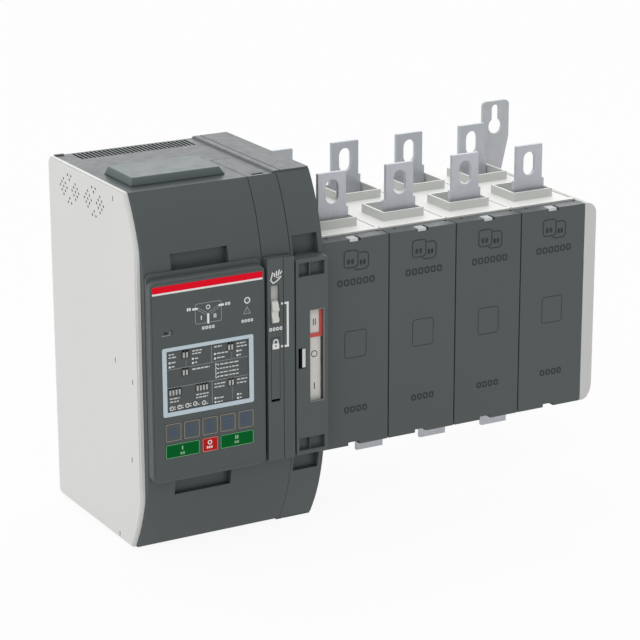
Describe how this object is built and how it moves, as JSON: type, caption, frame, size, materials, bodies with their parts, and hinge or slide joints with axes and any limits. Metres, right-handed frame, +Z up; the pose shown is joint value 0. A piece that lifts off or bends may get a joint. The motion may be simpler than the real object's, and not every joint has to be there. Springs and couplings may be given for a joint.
{
  "type": "automatic transfer switch",
  "caption": "Four-pole automatic transfer switch: mechanism box with key panel, mode selector and position window, beside a row of poles with slotted terminal bars.",
  "frame": {"origin": "on the rear mounting plane, level with the main shaft's axis, at the junction between the mechanism box and the first pole", "axes": "+X from the mechanism box to the poles (seen from the front, left to right), +Y towards the mounting wall, +Z up"},
  "size_m": [0.4178, 0.1682, 0.2809],
  "materials": {
    "side_cover": "light grey moulded plastic, satin",
    "dark_cover": "dark grey moulded plastic, satin",
    "dark_lid": "dark grey moulded plastic, satin",
    "zinc_steel": "zinc plated",
    "panel_film": "dark grey membrane film",
    "pale_blue_print": "pale blue grey",
    "black_plastic": "near black moulded plastic",
    "lens": "milky lens",
    "circuit_board": "green lacquer",
    "green_key": "green membrane key",
    "red_key": "red membrane key",
    "white_plastic": "off-white moulded plastic",
    "grey_plastic": "mid grey moulded plastic",
    "clear_pane": "clear plastic pane",
    "scale_label": "pale grey label",
    "red_flag": "red moulded plastic",
    "ivory_plastic": "off-white moulded plastic",
    "tinned_copper": "tin plated copper bar",
    "red_moulding": "brown red insulating moulding",
    "copper": "bare copper",
    "bronze": "sintered bronze"
  },
  "bodies": {
    "enclosure": {"left_side_cover": "side_cover", "main_cover": "dark_cover", "insert_cover": "dark_cover", "right_cover": "dark_cover", "base_plate": "zinc_steel", "module_lid": "dark_lid", "hmi_case": "dark_cover", "hmi_overlay": "panel_film", "dip_frame": "pale_blue_print", "dip_plate": "panel_film", "dip_switch_bodies": "black_plastic", "led_lenses": "lens", "hmi_board": "circuit_board", "selector_bezel": "dark_cover", "centre_strip": "dark_cover", "operating_block": "dark_cover", "window_pane": "clear_pane", "position_scale": "scale_label", "pole_cover_1": "dark_cover", "pole_cover_2": "dark_cover", "pole_cover_3": "dark_cover", "pole_cover_4": "dark_cover", "pole_housings": "ivory_plastic", "end_cover": "side_cover", "source1_terminals": "tinned_copper", "source2_terminals": "tinned_copper", "load_terminals": "tinned_copper", "arc_chutes": "zinc_steel", "solenoid_yoke": "zinc_steel", "solenoid_coils": "copper", "power_board": "circuit_board", "mechanism_frame": "zinc_steel", "shaft_bearings": "bronze", "tie_bolts": "zinc_steel"},
    "shaft": {"main_shaft": "zinc_steel", "contact_rotors": "red_moulding", "moving_contacts": "copper", "indicator_crank": "zinc_steel", "plunger_crank": "zinc_steel"},
    "plunger": {"plunger": "zinc_steel"},
    "flag": {"position_flag": "red_flag"},
    "selector": {"selector_knob": "white_plastic", "selector_slider": "grey_plastic"},
    "latch": {"padlock_latch": "dark_cover"},
    "interlock": {"handle_interlock": "white_plastic"},
    "key_1": {"key_1": "panel_film"},
    "key_2": {"key_2": "panel_film"},
    "key_3": {"key_3": "panel_film"},
    "key_4": {"key_4": "panel_film"},
    "key_5": {"key_5": "panel_film"},
    "key_on_1": {"key_on_1": "green_key"},
    "key_off": {"key_off": "red_key"},
    "key_on_2": {"key_on_2": "green_key"},
    "dip_levers_1": {"dip_levers_1": "white_plastic"},
    "dip_levers_2": {"dip_levers_2": "white_plastic"},
    "dip_levers_3": {"dip_levers_3": "white_plastic"},
    "dip_levers_4": {"dip_levers_4": "white_plastic"},
    "dip_levers_5": {"dip_levers_5": "white_plastic"},
    "dip_levers_6": {"dip_levers_6": "white_plastic"}
  },
  "joints": [
    {"name": "shaft_turn", "type": "hinge", "parent": "enclosure", "child": "shaft", "pos_m": [0, -0.0678, 0], "axis": [1, 0, 0], "range_deg": [0, 70]},
    {"name": "plunger_slide", "type": "slide", "parent": "enclosure", "child": "plunger", "axis": [0, 0, 1], "range_m": [-0.0001, 0.0288]},
    {"name": "flag_slide", "type": "slide", "parent": "enclosure", "child": "flag", "axis": [0, 0, 1], "range_m": [-0.0501, 0.0001]},
    {"name": "selector_slide", "type": "slide", "parent": "enclosure", "child": "selector", "axis": [0, 0, 1], "range_m": [0, 0.0113]},
    {"name": "padlock_latch_pull", "type": "slide", "parent": "enclosure", "child": "latch", "axis": [0, -1, 0], "range_m": [0, 0.016]},
    {"name": "interlock_push", "type": "slide", "parent": "enclosure", "child": "interlock", "axis": [0, 1, 0], "range_m": [0, 0.008]},
    {"name": "key_1_press", "type": "slide", "parent": "enclosure", "child": "key_1", "axis": [0, 1, 0], "range_m": [0, 0.0005]},
    {"name": "key_2_press", "type": "slide", "parent": "enclosure", "child": "key_2", "axis": [0, 1, 0], "range_m": [0, 0.0005]},
    {"name": "key_3_press", "type": "slide", "parent": "enclosure", "child": "key_3", "axis": [0, 1, 0], "range_m": [0, 0.0005]},
    {"name": "key_4_press", "type": "slide", "parent": "enclosure", "child": "key_4", "axis": [0, 1, 0], "range_m": [0, 0.0005]},
    {"name": "key_5_press", "type": "slide", "parent": "enclosure", "child": "key_5", "axis": [0, 1, 0], "range_m": [0, 0.0005]},
    {"name": "key_on_1_press", "type": "slide", "parent": "enclosure", "child": "key_on_1", "axis": [0, 1, 0], "range_m": [0, 0.0005]},
    {"name": "key_off_press", "type": "slide", "parent": "enclosure", "child": "key_off", "axis": [0, 1, 0], "range_m": [0, 0.0005]},
    {"name": "key_on_2_press", "type": "slide", "parent": "enclosure", "child": "key_on_2", "axis": [0, 1, 0], "range_m": [0, 0.0005]},
    {"name": "bank_1_levers", "type": "slide", "parent": "enclosure", "child": "dip_levers_1", "axis": [0, 0, 1], "range_m": [0, 0.0014]},
    {"name": "bank_2_levers", "type": "slide", "parent": "enclosure", "child": "dip_levers_2", "axis": [0, 0, 1], "range_m": [0, 0.0014]},
    {"name": "bank_3_levers", "type": "slide", "parent": "enclosure", "child": "dip_levers_3", "axis": [0, 0, 1], "range_m": [0, 0.0014]},
    {"name": "bank_4_levers", "type": "slide", "parent": "enclosure", "child": "dip_levers_4", "axis": [0, 0, 1], "range_m": [0, 0.0014]},
    {"name": "bank_5_levers", "type": "slide", "parent": "enclosure", "child": "dip_levers_5", "axis": [0, 0, 1], "range_m": [0, 0.0014]},
    {"name": "bank_6_levers", "type": "slide", "parent": "enclosure", "child": "dip_levers_6", "axis": [0, 0, 1], "range_m": [0, 0.0014]}
  ],
  "couplings": [
    {"joint": "plunger_slide", "follows": "shaft_turn", "m_per_rad": 0.023475},
    {"joint": "flag_slide", "follows": "shaft_turn", "m_per_rad": -0.040926}
  ]
}
